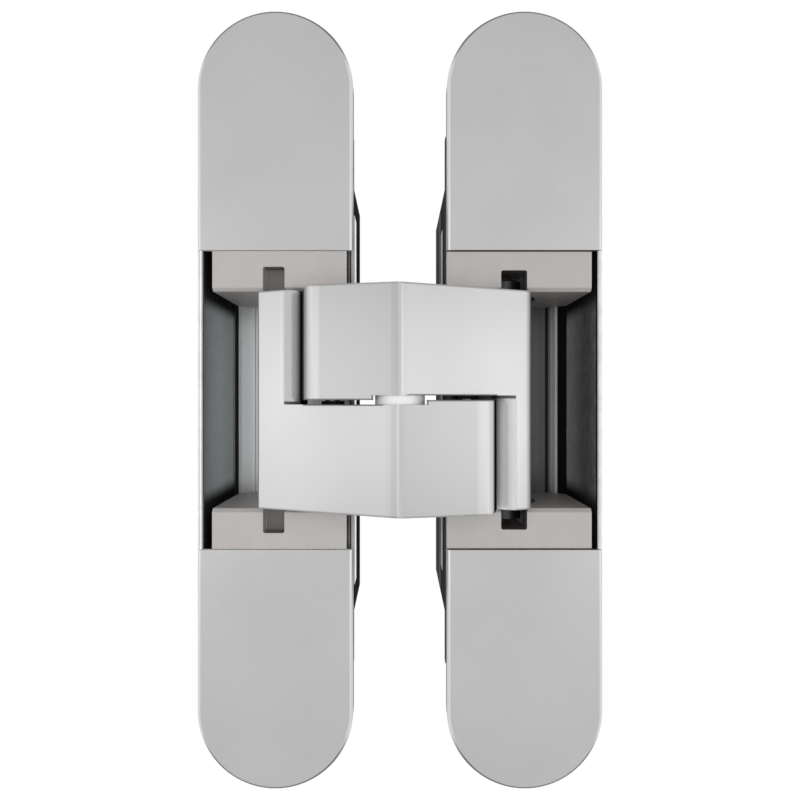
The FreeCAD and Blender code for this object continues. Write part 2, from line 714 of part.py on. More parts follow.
# Arm: a cast lever with a low and a tall end, drawn round its own knuckle axis.
# The long half runs to the tall slide end, the short half curls back to its pivot hub.
# The door leaf's slide end has a shorter nose.

def arm(label, turned):
    body = newBody(label)
    hub = (pivotAcross, "(Sizes.pivotBack + Sizes.knuckleFront)")
    slide = ("(-%s)" % slideAcross, "(Sizes.slideBack + Sizes.knuckleFront)")
    backOff = "(Sizes.armThick / cos(Sizes.longSlope * 1deg))"
    crease = "(Sizes.armBack - %s)" % backOff
    longEnd = "(-(%s + Sizes.%s))" % (slideAcross, "doorNose" if turned else "longNose")
    cheek = "(-(%s - Sizes.tallCheek))" % slideAcross
    shortEnd = "(%s + Sizes.shortNose)" % pivotAcross
    shoulder = "(Sizes.washerRadius + Sizes.shoulderClear)"
    rimY = "(Sizes.knuckleFront - Sizes.rimClear)"

    def frontLong(x):
        return "(%s - (%s) * tan(Sizes.longSlope * 1deg))" % (crease, x)

    def backLong(x):
        return "(%s + %s)" % (frontLong(x), backOff)

    def frontShort(x):
        return "(%s + (%s) * tan(Sizes.shortSlope * 1deg))" % (crease, x)

    # The short half in plan, from its front edge round the hub to the waist behind the knuckle.
    shortWay = [
        (shortEnd, frontShort(shortEnd)),
        (shortEnd, "Sizes.knuckleFront - Sizes.faceClear"),
        ("%s + Sizes.pivotHub" % hub[0], hub[1]),
        (neckAcross, hub[1]),
        (neckAcross, rimY),
        (neckAcross + " - Sizes.neckChamfer", rimY + " - Sizes.neckChamfer"),
        (shoulder, cell("waistBack")),
    ]
    backFar = "(%s + Sizes.backFar)" % slide[0]
    longWay = [
        ("-Sizes.backNear", backLong("-Sizes.backNear")),
        (backFar, backLong(backFar)),
        ("%s + Sizes.slideHub" % slide[0], "%s - Sizes.slideHub" % slide[1]),
        ("%s + Sizes.slideHub" % slide[0], slide[1]),
        ("%s - Sizes.slideHub" % slide[0], slide[1]),
        (longEnd, frontLong(longEnd)),
    ]
    tallWay = [
        (longEnd, frontLong(longEnd)),
        (cheek, frontLong(cheek)),
        (cheek, "%s - Sizes.slideHub" % slide[1]),
        ("%s + Sizes.slideHub" % slide[0], slide[1]),
        ("%s - Sizes.slideHub" % slide[0], slide[1]),
    ]
    foot = "(-%s)" % armHalf
    addBetween(body, "long_half", "XY_Plane", lambda s: polygon(s, [("0", crease)] + shortWay + longWay),
               foot, "-" + halfGap)
    addBetween(body, "short_half", "XY_Plane",
               lambda s: polygon(s, [(shoulder, frontShort(shoulder))] + shortWay), "-" + halfGap, "0")
    addBetween(body, "tall_end", "XY_Plane", lambda s: polygon(s, tallWay), "-" + halfGap, armHalf)
    addBetween(body, "slide_hub", "XY_Plane", lambda s: circle(s, slide[0], slide[1], cell("slideHub")),
               foot, armHalf)
    last = addBetween(body, "pivot_hub", "XY_Plane", lambda s: circle(s, hub[0], hub[1], cell("pivotHub")),
                      foot, "0")
    roundings = {
        "creaseRound": ("0", crease),
        "shortRound": (shortEnd, frontShort(shortEnd)),
        "tallRound": (cheek, frontLong(cheek)),
        "noseEdge": (longEnd, frontLong(longEnd)),
    }
    for size, (x, y) in roundings.items():
        kind = "PartDesign::Chamfer" if size == "noseEdge" else "PartDesign::Fillet"
        last = dress(body, kind, size, last, edgesWhere(last, upright(x, y)), cell(size))
    # Broken front edges at the foot and at the head of the tall end.
    def onFront(edge, middle):
        line = frontLong(middle.x) if middle.x < 0 else frontShort(middle.x)
        return middle.y < value(line) + 1
    for name, level in (("foot_edge", foot), ("head_edge", armHalf)):
        last = dress(body, "PartDesign::Fillet", name, last, edgesWhere(last, inPlaneZ(level, onFront)),
                     cell("armEdge"))

    def outsideCorner(sketch, x, z, up):
        """The waste beyond a quarter circle, at a corner of the short half seen from the front."""
        bend = value(cell("cornerRound"))
        centre = FreeCAD.Vector(value(x) - bend, value(z) + up * bend, 0)
        turn = (-math.pi / 2, 0) if up > 0 else (0, math.pi / 2)
        circleRound = Part.Circle(centre, FreeCAD.Vector(0, 0, 1), bend)
        sketch.addGeometry(Part.ArcOfCircle(circleRound, *turn), False)
        margin = bend / 2
        low = FreeCAD.Vector(centre.x, centre.y - up * bend, 0)
        side = FreeCAD.Vector(centre.x + bend, centre.y, 0)
        corners = [side, side + FreeCAD.Vector(margin, 0, 0),
                   FreeCAD.Vector(side.x + margin, low.y - up * margin, 0),
                   low - FreeCAD.Vector(0, up * margin, 0), low]
        for start, end in zip(corners, corners[1:]):
            sketch.addGeometry(Part.LineSegment(start, end), False)
    addBetween(body, "short_corner", "XZ_Plane", lambda s: outsideCorner(s, shortEnd, foot, 1),
               crease, hub[1] + " + Sizes.pivotHub", cut=True)
    addBetween(body, "knuckle_bore", "XY_Plane", lambda s: circle(s, "0", "0", sleeveRadius),
               foot, "-" + halfGap, cut=True)
    addBetween(body, "pivot_bore", "XY_Plane",
               lambda s: circle(s, hub[0], hub[1], "(Sizes.pivotPin + Sizes.pivotFit)"), foot, "0", cut=True)
    addBetween(body, "slide_bore", "XY_Plane", lambda s: circle(s, slide[0], slide[1], cell("slidePin")),
               foot, armHalf, cut=True)
    place(body, leafX, knuckleY, turned)


def slideParts(side, turned):
    x = "(-%s)" % slideAcross
    y = "(Sizes.slideBack + Sizes.knuckleFront)"
    top = "(%s - Sizes.pinEdge)" % bushTop
    place(pin(side + "_slide_pin", x, y, "-" + top, top, cell("slidePin")), leafX, knuckleY, turned)
    near = "(%s + Sizes.bushGap)" % armHalf
    high = (near, bushTop)
    low = ("-" + bushTop, "-" + near)
    # The right arm is turned over, so its upper bush is drawn at the low end.
    for name, span in (("upper", low if turned else high), ("lower", high if turned else low)):
        bush = ring("%s_%s_slide_bush" % (side, name), x, y, span[0], span[1],
                    cell("bushRadius"), cell("slidePin"))
        place(bush, leafX, knuckleY, turned)


for side, door in (("frame", False), ("door", True)):
    housing(side + "_housing", door)
    for name, low in (("upper", False), ("lower", True)):
        cover("%s_%s_cover" % (side, name), door, low)
        sign = -1 if low else 1
        block("%s_%s_block" % (side, name), door, -sign if door else sign)
    guidePlate(side + "_guide_plate", door)
    clampScrews(side + "_clamp_screws", door)
    adjustCams(side + "_adjusting_cams", door)
    placeOnLeaf(pin(side + "_pivot_pin", pivotX, pivotY, "-" + pivotPinHalf, pivotPinHalf, cell("pivotPin")),
                door, door)
    placeOnLeaf(ring(side + "_spacer_sleeve", pivotX, pivotY, "-" + openHalf, "-Sizes.spacerGap",
                     cell("spacerRadius"), cell("pivotPin")), door, door)

# The left arm is drawn as it lies; the right arm is the same casting turned half round.
arm("left_arm", False)
arm("right_arm", True)
slideParts("left", False)
slideParts("right", True)

# The knuckle: one pin fixed in the right arm, a bush in each arm and a washer between them.
shaftHalf = "(%s - Sizes.knuckleShort)" % armHalf
place(pin("knuckle_pin", "0", "0", "-" + shaftHalf, shaftHalf, cell("knucklePin")), leafX, knuckleY)
place(ring("knuckle_washer", "0", "0", "-" + halfGap, halfGap, cell("washerRadius"), cell("knucklePin")),
      leafX, knuckleY)
place(ring("right_knuckle_bush", "0", "0", halfGap, shaftHalf, sleeveRadius, cell("knucklePin")),
      leafX, knuckleY)
place(ring("left_knuckle_bush", "0", "0", "-" + shaftHalf, "-" + halfGap, sleeveRadius,
           "(Sizes.knucklePin + Sizes.knuckleFit)"), leafX, knuckleY)

doc.recompute()

for item in doc.Objects:
    if "Invalid" in item.State or "Error" in item.State:
        raise RuntimeError("%s failed: %s" % (item.Label, item.State))
os.makedirs("parts", exist_ok=True)
for item in nodes:
    shape = item.Shape
    if shape.isNull() or not shape.isValid():
        raise RuntimeError("%s has no valid shape" % item.Label)
    if len(item.Label) >= 60:
        raise RuntimeError("%s is too long a name" % item.Label)
    box3 = shape.BoundBox
    print("%-26s %2d solids %8.1f mm3  x %6.1f %6.1f  y %6.1f %6.1f  z %6.1f %6.1f" % (
        item.Label, len(shape.Solids), shape.Volume, box3.XMin, box3.XMax,
        box3.YMin, box3.YMax, box3.ZMin, box3.ZMax))
    shape.exportStep("parts/%s.step" % item.Label)
print("%d nodes" % len(nodes))
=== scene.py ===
import bmesh
import bpy
import json
import math
from mathutils import Matrix, Vector


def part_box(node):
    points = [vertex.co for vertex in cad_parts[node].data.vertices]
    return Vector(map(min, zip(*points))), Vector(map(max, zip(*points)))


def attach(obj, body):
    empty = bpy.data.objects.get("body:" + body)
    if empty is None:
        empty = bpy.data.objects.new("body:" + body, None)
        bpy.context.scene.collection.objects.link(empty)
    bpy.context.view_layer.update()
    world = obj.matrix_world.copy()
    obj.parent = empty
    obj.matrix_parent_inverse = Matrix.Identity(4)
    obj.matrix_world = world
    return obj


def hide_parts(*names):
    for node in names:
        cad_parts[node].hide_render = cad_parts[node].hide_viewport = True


# Concealed door hinge, open at 180 degrees, seen from the front.
# Metres; the hinge's frame leaf is on the left, its door leaf on the right.

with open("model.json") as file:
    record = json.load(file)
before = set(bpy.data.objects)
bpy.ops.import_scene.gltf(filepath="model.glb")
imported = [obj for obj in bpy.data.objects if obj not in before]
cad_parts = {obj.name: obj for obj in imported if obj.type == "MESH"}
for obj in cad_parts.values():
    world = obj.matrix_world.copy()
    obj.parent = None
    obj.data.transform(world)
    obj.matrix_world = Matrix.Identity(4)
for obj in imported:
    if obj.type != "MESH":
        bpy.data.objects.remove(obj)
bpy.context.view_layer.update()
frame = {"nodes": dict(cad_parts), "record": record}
nodes = frame["nodes"]
bodies = frame["record"]["behaviour"]["bodies"]
bodyOf = {name: body for body, names in bodies.items() for name in names}
slotOf = {part["node"]: part["material_slot"] for part in frame["record"]["subparts"]}
leafShift = 0.0481  # from the frame leaf's middle to the door leaf's, which is turned round
middleX = leafShift / 2
print("frame loaded with", len(nodes), "nodes")


# Wires and boards: sums on wires add Math nodes, every other node comes from Board.add.

class Wire:
    def __init__(self, board, socket):
        self.board = board
        self.socket = socket

    def math(self, operation, *others, flip=False):
        values = [self, *others]
        if flip:
            values.reverse()
        return self.board.add("ShaderNodeMath", {"operation": operation}, values)[0]

    def __add__(self, other):
        return self.math("ADD", other)

    def __radd__(self, other):
        return self.math("ADD", other, flip=True)

    def __sub__(self, other):
        return self.math("SUBTRACT", other)

    def __rsub__(self, other):
        return self.math("SUBTRACT", other, flip=True)

    def __mul__(self, other):
        return self.math("MULTIPLY", other)

    def __rmul__(self, other):
        return self.math("MULTIPLY", other, flip=True)

    def __truediv__(self, other):
        return self.math("DIVIDE", other)

    def __lt__(self, other):
        return self.math("LESS_THAN", other)

    def __gt__(self, other):
        return self.math("GREATER_THAN", other)

    def __or__(self, other):  # one mask or the other
        return self.math("MAXIMUM", other)

    def __abs__(self):
        return self.math("ABSOLUTE")

    def ramp(self, low, high):  # 0 below low, 1 above high, smooth between
        values = {"Value": self, "From Min": low, "From Max": high}
        return self.board.add("ShaderNodeMapRange", {"interpolation_type": "SMOOTHSTEP"}, values)[0]


class Board:
    def __init__(self, tree):
        self.tree = tree

    def add(self, kind, settings=None, values=None):
        node = self.tree.nodes.new(kind)
        for name, setting in (settings or {}).items():
            setattr(node, name, setting)
        pairs = values.items() if isinstance(values, dict) else enumerate(values or [])
        for key, value in pairs:
            socket = node.inputs[key]
            if isinstance(value, (Wire, list)):  # a list of wires is for a socket that joins them
                for wire in value if isinstance(value, list) else [value]:
                    self.tree.links.new(wire.socket, socket)
            else:
                socket.default_value = value
        return [Wire(self, socket) for socket in node.outputs]

    def mixColours(self, factor, first, second):
        values = {0: factor, 6: first, 7: second}  # 6 and 7 are the Mix node's colour sockets
        return self.add("ShaderNodeMix", {"data_type": "RGBA"}, values)[2]

    def noise(self, place, scale, detail=3.0, rough=0.5, stretch=(1, 1, 1)):
        stretched = self.add("ShaderNodeMapping", None, {"Vector": place, "Scale": stretch})[0]
        values = {"Vector": stretched, "Scale": scale, "Detail": detail, "Roughness": rough}
        return self.add("ShaderNodeTexNoise", None, values)[0]

    def xyz(self, place):
        return self.add("ShaderNodeSeparateXYZ", None, [place])


def emptyBoard(owner):  # a material or world with nothing on its node tree yet
    owner.use_nodes = True
    owner.node_tree.nodes.clear()
    return Board(owner.node_tree)


def newObject(name, data):
    obj = bpy.data.objects.new(name, data)
    bpy.context.scene.collection.objects.link(obj)
    return obj


def grey(level):
    return (level, level, level, 1)


# Finishes

finishes = {}
mottleRamp = (0.3, 0.7)  # the part of a noise's range that goes from one tone to the other


def newFinish(name):
    finishes[name] = bpy.data.materials.new(name)
    board = emptyBoard(finishes[name])
    place = board.add("ShaderNodeTexCoord")[3]  # Object coordinates
    return board, place


def uneven(grain, user):  # roughness that follows a grain
    return user["roughness"] + (grain - 0.5) * user["roughnessPlay"]


def surface(board, colour, metallic, roughness, height, user):
    relief = {"Height": height, "Strength": user["bump"], "Distance": user["relief"]}
    values = {"Base Color": colour, "Metallic": metallic, "Roughness": roughness,
              "Normal": board.add("ShaderNodeBump", None, relief)[0],
              "Specular IOR Level": user["specular"]}
    shader = board.add("ShaderNodeBsdfPrincipled", None, values)[0]
    board.add("ShaderNodeOutputMaterial", None, {"Surface": shader})


def layered(board, colour, user, masks):  # each named colour is laid over the last by its mask
    for name, mask in masks.items():
        colour = board.mixColours(mask, colour, user[name])
    return colour


def reachOf(across, up, endCentre):  # from a leaf's middle line, or the centre of its round end
    beyond = (up - endCentre).math("MAXIMUM", 0.0)
    return (across * across + beyond * beyond).math("SQRT")


def satinPlating(name, zones, user):
    # plated and lapped zinc: even silver with a silky grain and faint clouds
    board, place = newFinish(name)
    clouds = board.noise(place, user["cloudScale"], detail=4.0)
    grain = board.noise(place, user["grainScale"], detail=2.0)
    colour = board.mixColours(clouds.ramp(*user["cloudRamp"]), user["colour"], user["cloudColour"])
    colour, metallic = zones(board, place, colour, user)
    surface(board, colour, metallic, uneven(grain, user), grain, user)


def coverZones(board, place, colour, user):
    # painted highlight along the sides, painted shade on the rim over the round ends, and painted light on the
    # frame leaf's foot that lifts the shade under it
    x, y, z = board.xyz(place)
    up = abs(z)
    reach = reachOf(abs(x - middleX) - middleX, up, user["endCentre"])
    onEnd = up.ramp(*user["endRamp"])
    arcShade = reach.ramp(*user["arcRamp"]) * onEnd
    foot = (up < user["footZ"]) * (x < middleX)
    colour = layered(board, colour, user, {
        "rimColour": reach.ramp(*user["sideRamp"]) * (1 - onEnd),
        "arcColour": arcShade,
        "footColour": foot,
    })
    return colour, user["metallic"] * (1 - arcShade) * (1 - foot)


def armZones(board, place, colour, user):
    # painted light and shade: the arm's halves, which lean two ways about the crease, get a lit and a shaded
    # tone, and its cheeks curl in beside the other arm
    x, y, z = board.xyz(place)
    far = abs(x - middleX)
    up = abs(z)
    onDoorSide = x > middleX
    onFrameSide = 1 - onDoorSide
    aside = x - user["creaseX"]
    toLong = (aside * z.math("SIGN")).ramp(*user["creaseRamp"])
    shortHalf = 1 - toLong
    longColour = board.mixColours(far.ramp(*user["longRamp"]), user["longColour"], colour)
    onLong = toLong | far.ramp(*user["tallRamp"])
    colour = board.mixColours(onLong, user["shortColour"], longColour)
    # painted highlights on the rounded end of the short half and along its edge
    onEnd = shortHalf * (far < user["shortEnd"])
    frameRound = far.ramp(*user["roundRamp"]) * onFrameSide
    doorRound = far.ramp(*user["doorRoundRamp"]) * onDoorSide
    onEdge = far.ramp(*user["edgeRamp"]) * (1 - far.ramp(*user["edgeFade"]))
    # painted light on the cheek that curls in behind it, brighter on the door arm, with painted highlights by
    # its fold
    onCheek = (far > user["shortEnd"]) * (far < user["cheekEnd"]) * (y > user["cheekFront"])
    onDoorCheek = onCheek * onDoorSide
    inFold = 1 - abs(far - user["foldAt"]).ramp(*user["foldRamp"])
    # painted shadow between the arms, along the steps, at the lip and at the nose
    inGap = onCheek * (far < user["tallRamp"][0]) * onFrameSide * y.ramp(*user["cheekRamp"])
    frameGap = y.ramp(*user["gapRamp"]) * onFrameSide
    doorGap = y.ramp(*user["doorGapRamp"]) * onDoorSide
    atGap = (far < user["shortEnd"]) * (far > user["shortFrom"]) * (y < user["gapBack"])
    longStep, shortStep = user["stepZ"]
    atStep = (up < longStep + shortHalf * (shortStep - longStep)) * (far < user["shortEnd"])
    atLip = (1 - shortHalf) * onCheek * up.ramp(*user["lipRamp"])
    atNose = x.ramp(*user["noseRamp"])
    dark = inGap | atGap * (frameGap + doorGap) | atStep * user["stepShare"]
    dark = dark | atLip * user["lipShare"] | atNose * user["noseShare"]
    # painted shade in the crease, painted highlights on the ridge, rounds, edge, cheeks and fold, then the
    # painted shadow
    colour = layered(board, colour, user, {
        "creaseColour": abs(aside) < user["creaseHalf"],
        "ridgeColour": 1 - abs(x - user["ridgeX"]).ramp(*user["ridgeRamp"]),
        "roundColour": onEnd * (frameRound + doorRound),
        "edgeColour": onEnd * onEdge,
        "cheekColour": onCheek,
        "doorCheekColour": onDoorCheek,
        "paleColour": onDoorCheek * (1 - far.ramp(*user["paleRamp"])),
        "foldColour": onDoorCheek * inFold,
        "gapColour": dark,
    })
    return colour, user["metallic"] * (1 - dark)


satinPlating("satin_cover", coverZones, {
    "colour": grey(0.495), "cloudColour": grey(0.515), "cloudScale": 60.0, "cloudRamp": (0.35, 0.65),
    "grainScale": 2600.0, "roughness": 0.34, "roughnessPlay": 0.08, "bump": 0.08, "relief": 0.00002,
    "metallic": 0.55, "specular": 0.1,
    # painted highlight along the sides, painted shade on the arcs, painted light on the foot
    "rimColour": grey(0.72), "sideRamp": (0.0142, 0.0146),
    "arcColour": grey(0.12), "arcRamp": (0.01435, 0.0147), "endCentre": 0.06, "endRamp": (0.0635, 0.07),
    "footColour": grey(0.95), "footZ": 0.02888,
})
satinPlating("satin_arm", armZones, {
    "colour": grey(0.49), "cloudColour": grey(0.505), "cloudScale": 80.0, "cloudRamp": (0.35, 0.65),
    "grainScale": 2600.0, "roughness": 0.3, "roughnessPlay": 0.08, "bump": 0.06, "relief": 0.00002,
    "metallic": 0.55, "specular": 0.0,
    # painted light and shade: tones of the halves, crease, ridge, rounds, edges, cheeks and gaps
    "longColour": grey(0.435), "longRamp": (0.006, 0.024), "tallRamp": (0.0207, 0.0213),
    "shortColour": grey(0.405), "shortFrom": 0.0155, "shortEnd": 0.0179,
    "creaseColour": grey(0.365), "creaseX": 0.0232, "creaseHalf": 0.0007, "creaseRamp": (0.0003, 0.0026),
    "ridgeColour": grey(0.49), "ridgeX": 0.0241, "ridgeRamp": (0.0003, 0.0007),
    "roundColour": grey(0.465), "roundRamp": (0.0141, 0.0147), "doorRoundRamp": (0.0134, 0.0144),
    "edgeColour": grey(0.64), "edgeRamp": (0.0154, 0.016), "edgeFade": (0.0164, 0.0168),
    "cheekColour": grey(0.505), "cheekEnd": 0.0216, "cheekFront": -0.0087, "cheekRamp": (-0.0081, -0.0071),
    "doorCheekColour": grey(0.58), "paleColour": grey(0.97), "paleRamp": (0.0187, 0.0203),
    "foldColour": grey(0.63), "foldAt": 0.0212, "foldRamp": (0.0001, 0.0006),
    "gapColour": grey(0.005), "gapBack": -0.0125, "gapRamp": (-0.0136, -0.0128),
    "doorGapRamp": (-0.014, -0.0137), "stepZ": (0.00105, 0.00025), "stepShare": 0.6,
    "lipRamp": (0.0001, 0.0004), "lipShare": 0.8, "noseRamp": (0.0475, 0.0484), "noseShare": 0.35,
})


def castZinc(name, zones, user):
    # cast skin under thin plating: mottled, a little pitted
    board, place = newFinish(name)
    mottle = board.noise(place, user["mottleScale"], detail=5.0, rough=0.6)
    pits = board.noise(place, user["pitScale"])
    colour = board.mixColours(mottle.ramp(*mottleRamp), user["colour"], user["mottleColour"])
    colour, metallic = zones(board, place, mottle, colour, user)
    roughness = uneven(mottle, user) - metallic * user["polish"]
    surface(board, colour, metallic, roughness, pits + mottle * 0.5, user)


def housingZones(board, place, mottle, colour, user):
    # a housing is blackened outside and plated on its rim; painted light brightens its pocket towards the back,
    # painted shade and shadow lie on its flank, flange edge and floor and beside the blocks, and painted
    # highlights lie on the pad, slot, lip and the rim's inner edge
    x, y, z = board.xyz(place)
    if user["door"]:
        x = leafShift - x
    up = abs(z)
    # painted light: the pocket grows paler towards its back
    pocketLit = board.mixColours(mottle.ramp(*mottleRamp), user["deepColour"], user["deepMottle"])
    colour = board.mixColours(y.ramp(*user["deepRamp"]), colour, pocketLit)
    inside = y > user["lipBack"]
    nearSide = x < 0.0  # the half of the leaf away from the gap
    onFlank = x > user["flankX"]  # the flank that faces the other leaf
    besideBlock = inside * nearSide * up.ramp(*user["blockRamp"])
    onEnd = up > user["endZ"]
    onRim = (reachOf(x, up, user["endCentre"]) > user["flankX"]) * (y > user["rimBack"])
    behindEnd = onEnd * (y > user["lineBack"])
    onPad = (x > user["padX"]) * (y < user["padY"][1]) * (up < user["padZ"])
    slotNear, slotMiddle, slotEnd = user["slotX"]
    inSlot = (x < slotEnd) * inside * (y < user["slotBack"]) * (1 - onEnd)
    masks = {
        # painted shadow beside the block and behind the rim, painted shade on the pocket's floor and at the
        # block's foot
        "blockSide": besideBlock * (x > -user["flankX"]),
        "line": inside * (y < user["lineBack"]),
        "floorEdge": y > user["floorY"],
        "floor": (y > user["floorY"]) * (x > user["floorX"]),
        "blockFoot": besideBlock * (y > user["floorY"]),
        # painted shade on the flange edge and on the flank that faces the other leaf
        "edge": onFlank * (y > user["rimBack"]) * (y < user["flangeBack"]),
        "flankFront": onFlank * (y > user["flangeBack"]),
        "flankBack": onFlank * (y > user["flankSplit"]),
        "outside": (onRim | behindEnd) * (1 - onFlank) | (y > user["backY"]) | onEnd * (y > user["flangeBack"]),
        # painted highlights on the pad (its front in painted shade), the slot (with a painted shadow line
        # beyond), the lip and the rim's inner edge; the rim is the plated edge
        "padFront": onPad,
        "pad": onPad * (y > user["padY"][0]),
        "padBack": onPad * (y > user["padMid"]),
        "slot": inSlot * (x > slotNear),
        "slotFar": inSlot * (x > slotMiddle),
        "lip": nearSide * (y < user["lipBack"]),
        "rim": y < user["rimBack"],
        "rimInner": (y < user["rimBack"]) * nearSide * (x > user["rimInner"]),
    }
    metallic = user["metallic"]
    for zone, mask in masks.items():
        shade, metal = user["zones"][zone]
        mottled = board.mixColours(mottle.ramp(*mottleRamp), grey(shade), grey(shade * user["zoneMottle"]))
        colour = board.mixColours(mask, colour, mottled)
        metallic = metallic + (metal - metallic) * mask
    return colour, metallic


def blockZones(board, place, mottle, colour, user):
    # painted shade in a block's notch; painted light on the frame block's seam under the cover and on its side
    # by the slot, and painted shadow on the door block's seam
    x, y, z = board.xyz(place)
    up = abs(z)
    inNotch = (abs(x - user["notchX"]) < user["notchHalf"]) * (y > user["notchY"])
    behindFace = y > user["seamY"]
    colour = layered(board, colour, user, {
        "notchColour": inNotch * (up < user["notchZ"]) * (up > user["soffitZ"]),
        "seamColour": behindFace * (up > user["seamZ"]),
        "slotColour": behindFace * (abs(x - middleX) < user["slotX"]),
    })
    return colour, user["metallic"]


# each zone has a shade and a share of metal, and a later zone lies over an earlier one; all but the rim and the
# outside are painted light and shade
castZinc("frame_casting", housingZones, {
    "door": False, "colour": (0.23, 0.245, 0.25, 1), "mottleColour": (0.26, 0.275, 0.28, 1),
    "mottleScale": 350.0, "pitScale": 1800.0, "zoneMottle": 1.15, "roughness": 0.55, "roughnessPlay": 0.2,
    "polish": 0.35, "bump": 0.15, "relief": 0.00004, "metallic": 0.0, "specular": 0.0,
    # painted light that brightens the pocket towards its back
    "deepColour": (0.86, 0.92, 0.93, 1), "deepMottle": (0.93, 0.99, 1.0, 1), "deepRamp": (-0.004, 0.0145),
    "rimBack": -0.00394, "lipBack": -0.003, "lineBack": -0.0018, "flangeBack": 0.0001, "slotBack": 0.001,
    "floorY": 0.0249, "backY": 0.0251, "floorX": -0.0138, "rimInner": -0.0144,
    "endZ": 0.0415, "endCentre": 0.06, "blockRamp": (0.0172, 0.0207), "slotX": (0.0139, 0.01418, 0.0146),
    "flankX": 0.0148, "flankSplit": 0.0098,
    "padX": 0.01455, "padY": (-0.0025, 0.0032), "padMid": 0.0032, "padZ": 0.0359,
    # painted shade and shadow in the pocket, on the flank and flange edge, painted highlights on the pad, slot,
    # lip and rim's inner edge
    "zones": {
        "blockSide": (0.03, 0.0), "line": (0.15, 0.0), "floorEdge": (0.3, 0.0), "floor": (0.025, 0.0),
        "blockFoot": (0.02, 0.0), "edge": (0.085, 0.0), "flankFront": (0.04, 0.0),
        "flankBack": (0.045, 0.0), "outside": (0.11, 0.0), "padFront": (0.33, 0.2), "pad": (0.66, 1.0),
        "padBack": (0.66, 1.0), "slot": (0.62, 0.0), "slotFar": (0.04, 0.0), "lip": (1.0, 0.0),
        "rim": (0.52, 0.4), "rimInner": (0.85, 0.4),
    },
})
castZinc("door_casting", housingZones, {
    "door": True, "colour": (0.13, 0.13, 0.125, 1), "mottleColour": (0.19, 0.19, 0.185, 1),
    "mottleScale": 350.0, "pitScale": 1800.0, "zoneMottle": 1.15, "roughness": 0.55, "roughnessPlay": 0.2,
    "polish": 0.35, "bump": 0.15, "relief": 0.00004, "metallic": 0.0, "specular": 0.0,
    # painted light that brightens the pocket towards its back
    "deepColour": grey(0.7), "deepMottle": grey(0.84), "deepRamp": (0.006, 0.024),
    "rimBack": -0.00394, "lipBack": -0.0031, "lineBack": -0.002, "flangeBack": 0.0001, "slotBack": 0.001,
    "floorY": 0.0249, "backY": 0.0251, "floorX": -0.0148, "rimInner": -0.0144,
    "endZ": 0.0415, "endCentre": 0.06, "blockRamp": (0.0172, 0.0207), "slotX": (0.0139, 0.0139, 0.0139),
    "flankX": 0.0148, "flankSplit": 0.0179,
    "padX": 0.01514, "padY": (0.0098, 0.0178), "padMid": 0.0145, "padZ": 0.0359,
    # painted shade and shadow in the pocket, on the flank and flange edge, painted highlights on the pad, slot,
    # lip and rim's inner edge
    "zones": {
        "blockSide": (0.03, 0.0), "line": (0.01, 0.0), "floorEdge": (0.01, 0.0), "floor": (0.01, 0.0),
        "blockFoot": (0.01, 0.0), "edge": (0.1, 0.0), "flankFront": (0.07, 0.0),
        "flankBack": (0.23, 0.0), "outside": (0.11, 0.0), "padFront": (0.2, 0.0), "pad": (0.95, 0.0),
        "padBack": (0.3, 0.0), "slot": (0.13, 0.0), "slotFar": (0.13, 0.0), "lip": (1.0, 0.0),
        "rim": (0.6, 0.4), "rimInner": (0.6, 0.4),
    },
})
castZinc("frame_block", blockZones, {
    "colour": (0.475, 0.45, 0.44, 1), "mottleColour": (0.495, 0.475, 0.46, 1), "mottleScale": 220.0,
    "pitScale": 1500.0, "roughness": 0.45, "roughnessPlay": 0.12, "polish": 0.0, "bump": 0.12,
    "relief": 0.00004, "metallic": 0.2, "specular": 0.2,
    # painted shade in the notch, painted light on the seam and on the side by the slot
    "notchColour": (0.21, 0.195, 0.19, 1), "notchX": -0.00005, "notchHalf": 0.0022, "notchY": -0.0035,
    "notchZ": 0.0257, "soffitZ": 0.0212,
    "seamColour": (0.7, 0.68, 0.67, 1), "seamZ": 0.0284, "seamY": -0.0037,
    "slotColour": grey(0.85), "slotX": 0.01045,
})
castZinc("door_block", blockZones, {
    "colour": (0.45, 0.43, 0.42, 1), "mottleColour": (0.47, 0.455, 0.44, 1), "mottleScale": 220.0,
    "pitScale": 1500.0, "roughness": 0.45, "roughnessPlay": 0.12, "polish": 0.0, "bump": 0.12,
    "relief": 0.00004, "metallic": 0.2, "specular": 0.2,
    # painted shade in the notch, painted shadow along the seam
    "notchColour": (0.14, 0.13, 0.125, 1), "notchX": 0.04605, "notchHalf": 0.0026, "notchY": -0.0035,
    "notchZ": 0.0252, "soffitZ": 0.0212,
    "seamColour": (0.14, 0.13, 0.125, 1), "seamZ": 0.0286, "seamY": -0.0036,
    "slotColour": grey(0.45), "slotX": 0.0086,
})


def drawnSteel(name, user):
    # strip pulled through a die: long streaks that run upright, and bands of painted highlight and painted
    # shadow across it
    board, place = newFinish(name)
    streaks = board.noise(place, user["streakScale"], rough=0.6, stretch=user["streakStretch"])
    spots = board.noise(place, user["spotScale"], detail=4.0)
    colour = board.mixColours(streaks.ramp(*mottleRamp), user["colour"], user["streakColour"])
    inSpot = spots.ramp(*user["spotRamp"]) * user["spotShare"]
    colour = board.mixColours(inSpot, colour, user["spotColour"])
    x = board.xyz(place)[0]
    metallic = user["metallic"]
    for start, end, shade, metal in user["bands"].values():
        mask = (x > start) * (x < end)
        colour = board.mixColours(mask, colour, grey(shade))
        metallic = metallic + (metal - metallic) * mask
    surface(board, colour, metallic, uneven(streaks, user), streaks, user)


